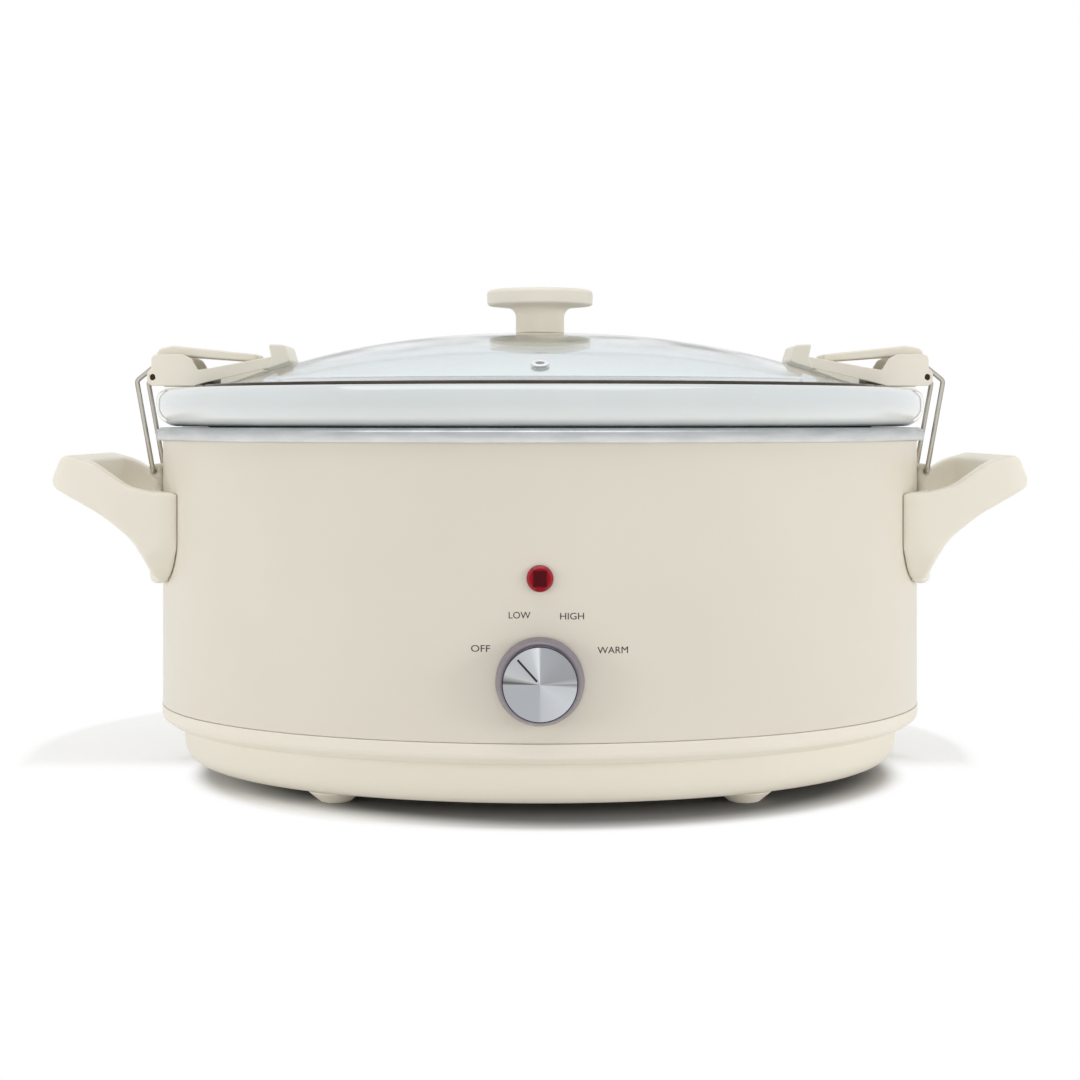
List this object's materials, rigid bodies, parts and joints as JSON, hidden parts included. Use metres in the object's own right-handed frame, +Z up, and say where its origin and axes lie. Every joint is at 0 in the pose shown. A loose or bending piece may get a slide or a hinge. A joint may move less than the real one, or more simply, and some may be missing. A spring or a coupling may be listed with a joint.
{
  "type": "slow cooker",
  "caption": "Oval slow cooker with a painted steel housing, lift-out stoneware crock, domed glass lid, rotary heat control and wire-bail lid latches on moulded side handles.",
  "frame": {"origin": "on the table under the middle of the oval, in the plane of the feet's undersides", "axes": "+X along the oval's length, towards the right handle as seen from the front; -Y out of the front with the heat control; +Z up"},
  "size_m": [0.4396, 0.301, 0.2244],
  "materials": {
    "housing_paint": "semi-gloss cream enamel",
    "base_plastic": "satin moulded plastic",
    "foot_plastic": "satin moulded plastic",
    "fastener_steel": "zinc plated",
    "well_steel": "plated steel, polished rim",
    "heater_mica": "steel-faced mica band",
    "fuse_ceramic": "matt",
    "lead_insulation": "woven glass sleeve",
    "switch_plastic": "moulded",
    "lamp_lens_red": "clear red, glossy",
    "lamp_holder": "moulded",
    "gland_rubber": "moulded",
    "handle_plastic": "satin moulded plastic",
    "crock_glaze": "glossy white glaze",
    "shaft_aluminium": "machined",
    "knob_plastic": "pearl grey paint",
    "knob_trim": "bright ring",
    "knob_cap_spun": "spun",
    "lid_glass_clear": "clear tempered",
    "lid_rim_steel": "bright stainless",
    "seal_silicone": "soft, translucent white",
    "lid_knob_plastic": "satin moulded plastic",
    "eyelet_steel": "stainless",
    "latch_wire": "drawn stainless",
    "latch_plastic": "satin moulded plastic",
    "pad_rubber": "soft, cream",
    "pin_steel": "ground"
  },
  "bodies": {
    "base": {"body_shell": "housing_paint", "base_pan": "base_plastic", "feet": "foot_plastic", "foot_screws": "fastener_steel", "base_washer": "fastener_steel", "base_nut": "fastener_steel", "heating_well": "well_steel", "heater_band": "heater_mica", "band_springs": "fastener_steel", "thermal_fuse": "fuse_ceramic", "fuse_clip": "fastener_steel", "wiring": "lead_insulation", "rotary_switch": "switch_plastic", "switch_nut": "fastener_steel", "lamp_lens": "lamp_lens_red", "lamp_body": "lamp_holder", "lamp_clip": "fastener_steel", "cord_gland": "gland_rubber", "handle_left": "handle_plastic", "handle_right": "handle_plastic", "handle_screws": "fastener_steel", "crock": "crock_glaze"},
    "dial": {"switch_shaft": "shaft_aluminium", "knob_body": "knob_plastic", "knob_ring": "knob_trim", "knob_cap": "knob_cap_spun"},
    "lid": {"lid_glass": "lid_glass_clear", "lid_rim": "lid_rim_steel", "lid_seal": "seal_silicone", "lid_knob": "lid_knob_plastic", "lid_knob_washer": "lid_knob_plastic", "lid_knob_screw": "fastener_steel", "vent_eyelet": "eyelet_steel"},
    "bail_left": {"bail_left": "latch_wire"},
    "lever_left": {"latch_lever_left": "latch_plastic"},
    "arm_left": {"latch_arm_left": "latch_plastic", "latch_pad_left": "pad_rubber", "latch_pin_left": "pin_steel"},
    "bail_right": {"bail_right": "latch_wire"},
    "lever_right": {"latch_lever_right": "latch_plastic"},
    "arm_right": {"latch_arm_right": "latch_plastic", "latch_pad_right": "pad_rubber", "latch_pin_right": "pin_steel"}
  },
  "joints": [
    {"name": "knob_turn", "type": "hinge", "parent": "base", "child": "dial", "pos_m": [0, -0.139, 0.0573], "axis": [0, 1, 0], "range_deg": [0, 90]},
    {"name": "lid_lift", "type": "slide", "parent": "base", "child": "lid", "axis": [0, 0, 1], "range_m": [0, 0.075]},
    {"name": "bail_swing_left", "type": "hinge", "parent": "base", "child": "bail_left", "pos_m": [-0.18, 0, 0.1385], "axis": [0, -1, 0], "range_deg": [0, 58.1]},
    {"name": "lever_flip_left", "type": "hinge", "parent": "bail_left", "child": "lever_left", "pos_m": [-0.1755, 0, 0.1905], "axis": [0, -1, 0], "range_deg": [0, 165.1]},
    {"name": "arm_tilt_left", "type": "hinge", "parent": "lever_left", "child": "arm_left", "pos_m": [-0.1796, 0, 0.1822], "axis": [0, -1, 0], "range_deg": [-25.1, 0]},
    {"name": "bail_swing_right", "type": "hinge", "parent": "base", "child": "bail_right", "pos_m": [0.18, 0, 0.1385], "axis": [0, 1, 0], "range_deg": [0, 58.1]},
    {"name": "lever_flip_right", "type": "hinge", "parent": "bail_right", "child": "lever_right", "pos_m": [0.1755, 0, 0.1905], "axis": [0, 1, 0], "range_deg": [0, 165.1]},
    {"name": "arm_tilt_right", "type": "hinge", "parent": "lever_right", "child": "arm_right", "pos_m": [0.1796, 0, 0.1822], "axis": [0, 1, 0], "range_deg": [-25.1, 0]}
  ],
  "couplings": [
    {"joint": "bail_swing_left", "follows": "lid_lift", "rad_per_m": 13.497},
    {"joint": "lever_flip_left", "follows": "lid_lift", "rad_per_m": 38.397},
    {"joint": "arm_tilt_left", "follows": "lid_lift", "rad_per_m": -5.818},
    {"joint": "bail_swing_right", "follows": "lid_lift", "rad_per_m": 13.497},
    {"joint": "lever_flip_right", "follows": "lid_lift", "rad_per_m": 38.397},
    {"joint": "arm_tilt_right", "follows": "lid_lift", "rad_per_m": -5.818}
  ]
}
